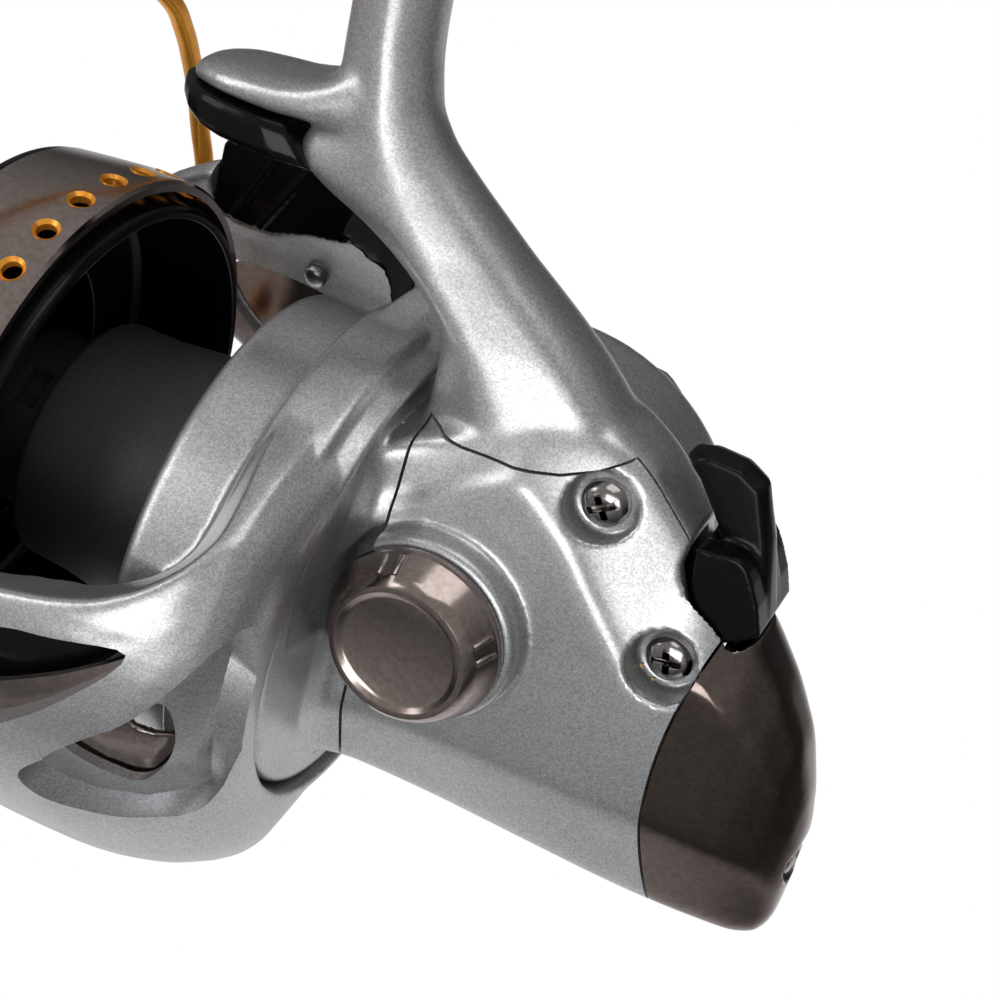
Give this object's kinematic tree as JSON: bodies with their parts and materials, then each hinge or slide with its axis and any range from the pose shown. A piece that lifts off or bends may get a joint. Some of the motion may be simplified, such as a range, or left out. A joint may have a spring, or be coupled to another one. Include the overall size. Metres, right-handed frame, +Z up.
{
  "type": "fixed-spool fishing reel",
  "caption": "Long-cast fixed-spool fishing reel: foot and stem, gear casing, two-armed rotor with folding bail, long-skirted spool and cranked handle.",
  "frame": {"origin": "centre of the foot's flat seat that lies on the rod", "axes": "+X along the spool axis towards the spool, +Z up out of the foot's seat, -Y towards the handle"},
  "size_m": [0.1824, 0.1703, 0.1889],
  "materials": {
    "silver_paint": "metallic silver flake paint",
    "gunmetal": "smoky bright plating",
    "gloss_black": "gloss",
    "charcoal": "satin",
    "gold": "anodised",
    "steel": "satin",
    "dark_steel": "bright",
    "brass": "machined",
    "drag_fibre": "matte",
    "grip_rubber": "matte"
  },
  "bodies": {
    "body": {"body_frame": "silver_paint", "side_cover": "silver_paint", "rear_cover": "gunmetal", "cover_screw_top": "dark_steel", "cover_screw_low": "dark_steel", "rear_cover_screw": "dark_steel", "nose_insert": "gloss_black", "side_cap": "gunmetal", "drive_bearing_near": "steel", "drive_bearing_far": "steel", "pinion_bearing": "steel", "one_way_clutch": "steel", "slider_guide": "steel"},
    "crank": {"drive_gear": "brass", "handle_shank": "silver_paint", "handle_arm": "silver_paint", "knob_post": "steel"},
    "grip": {"handle_knob": "grip_rubber", "knob_cap": "gunmetal"},
    "rotor": {"rotor": "silver_paint", "pinion_gear": "brass", "rotor_drum": "charcoal", "rotor_nut": "steel", "nut_cover": "charcoal", "arm_plate_near": "gunmetal", "arm_plate_far": "gunmetal", "arm_lining_near": "gloss_black", "arm_lining_far": "gloss_black", "arm_rivet_near": "steel", "arm_rivet_far": "steel", "bail_pivot_screw_near": "dark_steel", "bail_pivot_screw_far": "dark_steel"},
    "bail": {"bail_arm_near": "silver_paint", "bail_arm_far": "silver_paint", "bail_wire": "gold", "roller_screw": "dark_steel"},
    "roller": {"line_roller": "gold"},
    "oscillator": {"oscillation_gear": "brass"},
    "shaft": {"main_shaft": "steel", "slider": "brass", "drag_washer_2": "steel"},
    "spool": {"spool_body": "gloss_black", "spool_skirt": "gunmetal", "spool_lip": "silver_paint", "drag_washer_1": "drag_fibre", "drag_washer_3": "drag_fibre"},
    "drag": {"drag_knob": "gunmetal"},
    "lever": {"anti_reverse_lever": "gloss_black"}
  },
  "joints": [
    {"name": "crank_turn", "type": "hinge", "parent": "body", "child": "crank", "pos_m": [-0.0294, 0, -0.0916], "axis": [0, 1, 0], "continuous": true},
    {"name": "grip_spin", "type": "hinge", "parent": "crank", "child": "grip", "pos_m": [-0.03512, -0.08, -0.1734], "axis": [0, 1, 0], "continuous": true},
    {"name": "rotor_spin", "type": "hinge", "parent": "body", "child": "rotor", "pos_m": [0.006, 0, -0.098], "axis": [1, 0, 0], "continuous": true},
    {"name": "oscillator_spin", "type": "hinge", "parent": "body", "child": "oscillator", "pos_m": [-0.05, 0, -0.101], "axis": [0, 1, 0], "continuous": true},
    {"name": "spool_slide", "type": "slide", "parent": "body", "child": "shaft", "axis": [1, 0, 0], "range_m": [-0.026, 0]},
    {"name": "spool_spin", "type": "hinge", "parent": "shaft", "child": "spool", "pos_m": [0.006, 0, -0.098], "axis": [1, 0, 0], "continuous": true},
    {"name": "drag_turn", "type": "hinge", "parent": "shaft", "child": "drag", "pos_m": [0.006, 0, -0.098], "axis": [1, 0, 0], "range_deg": [0, 720]},
    {"name": "bail_flip", "type": "hinge", "parent": "rotor", "child": "bail", "pos_m": [0.044, 0, -0.098], "axis": [0, 0.9659, -0.2588], "range_deg": [0, 130]},
    {"name": "roller_spin", "type": "hinge", "parent": "bail", "child": "roller", "pos_m": [0.046, 0.05076, -0.094], "axis": [0, 0.9659, -0.2588], "continuous": true},
    {"name": "lever_swing", "type": "hinge", "parent": "body", "child": "lever", "pos_m": [-0.0635, 0, -0.078], "axis": [0, 1, 0], "range_deg": [-18, 0]}
  ],
  "couplings": [
    {"joint": "rotor_spin", "follows": "crank_turn", "ratio": 4.1},
    {"joint": "oscillator_spin", "follows": "crank_turn", "ratio": -0.45}
  ]
}
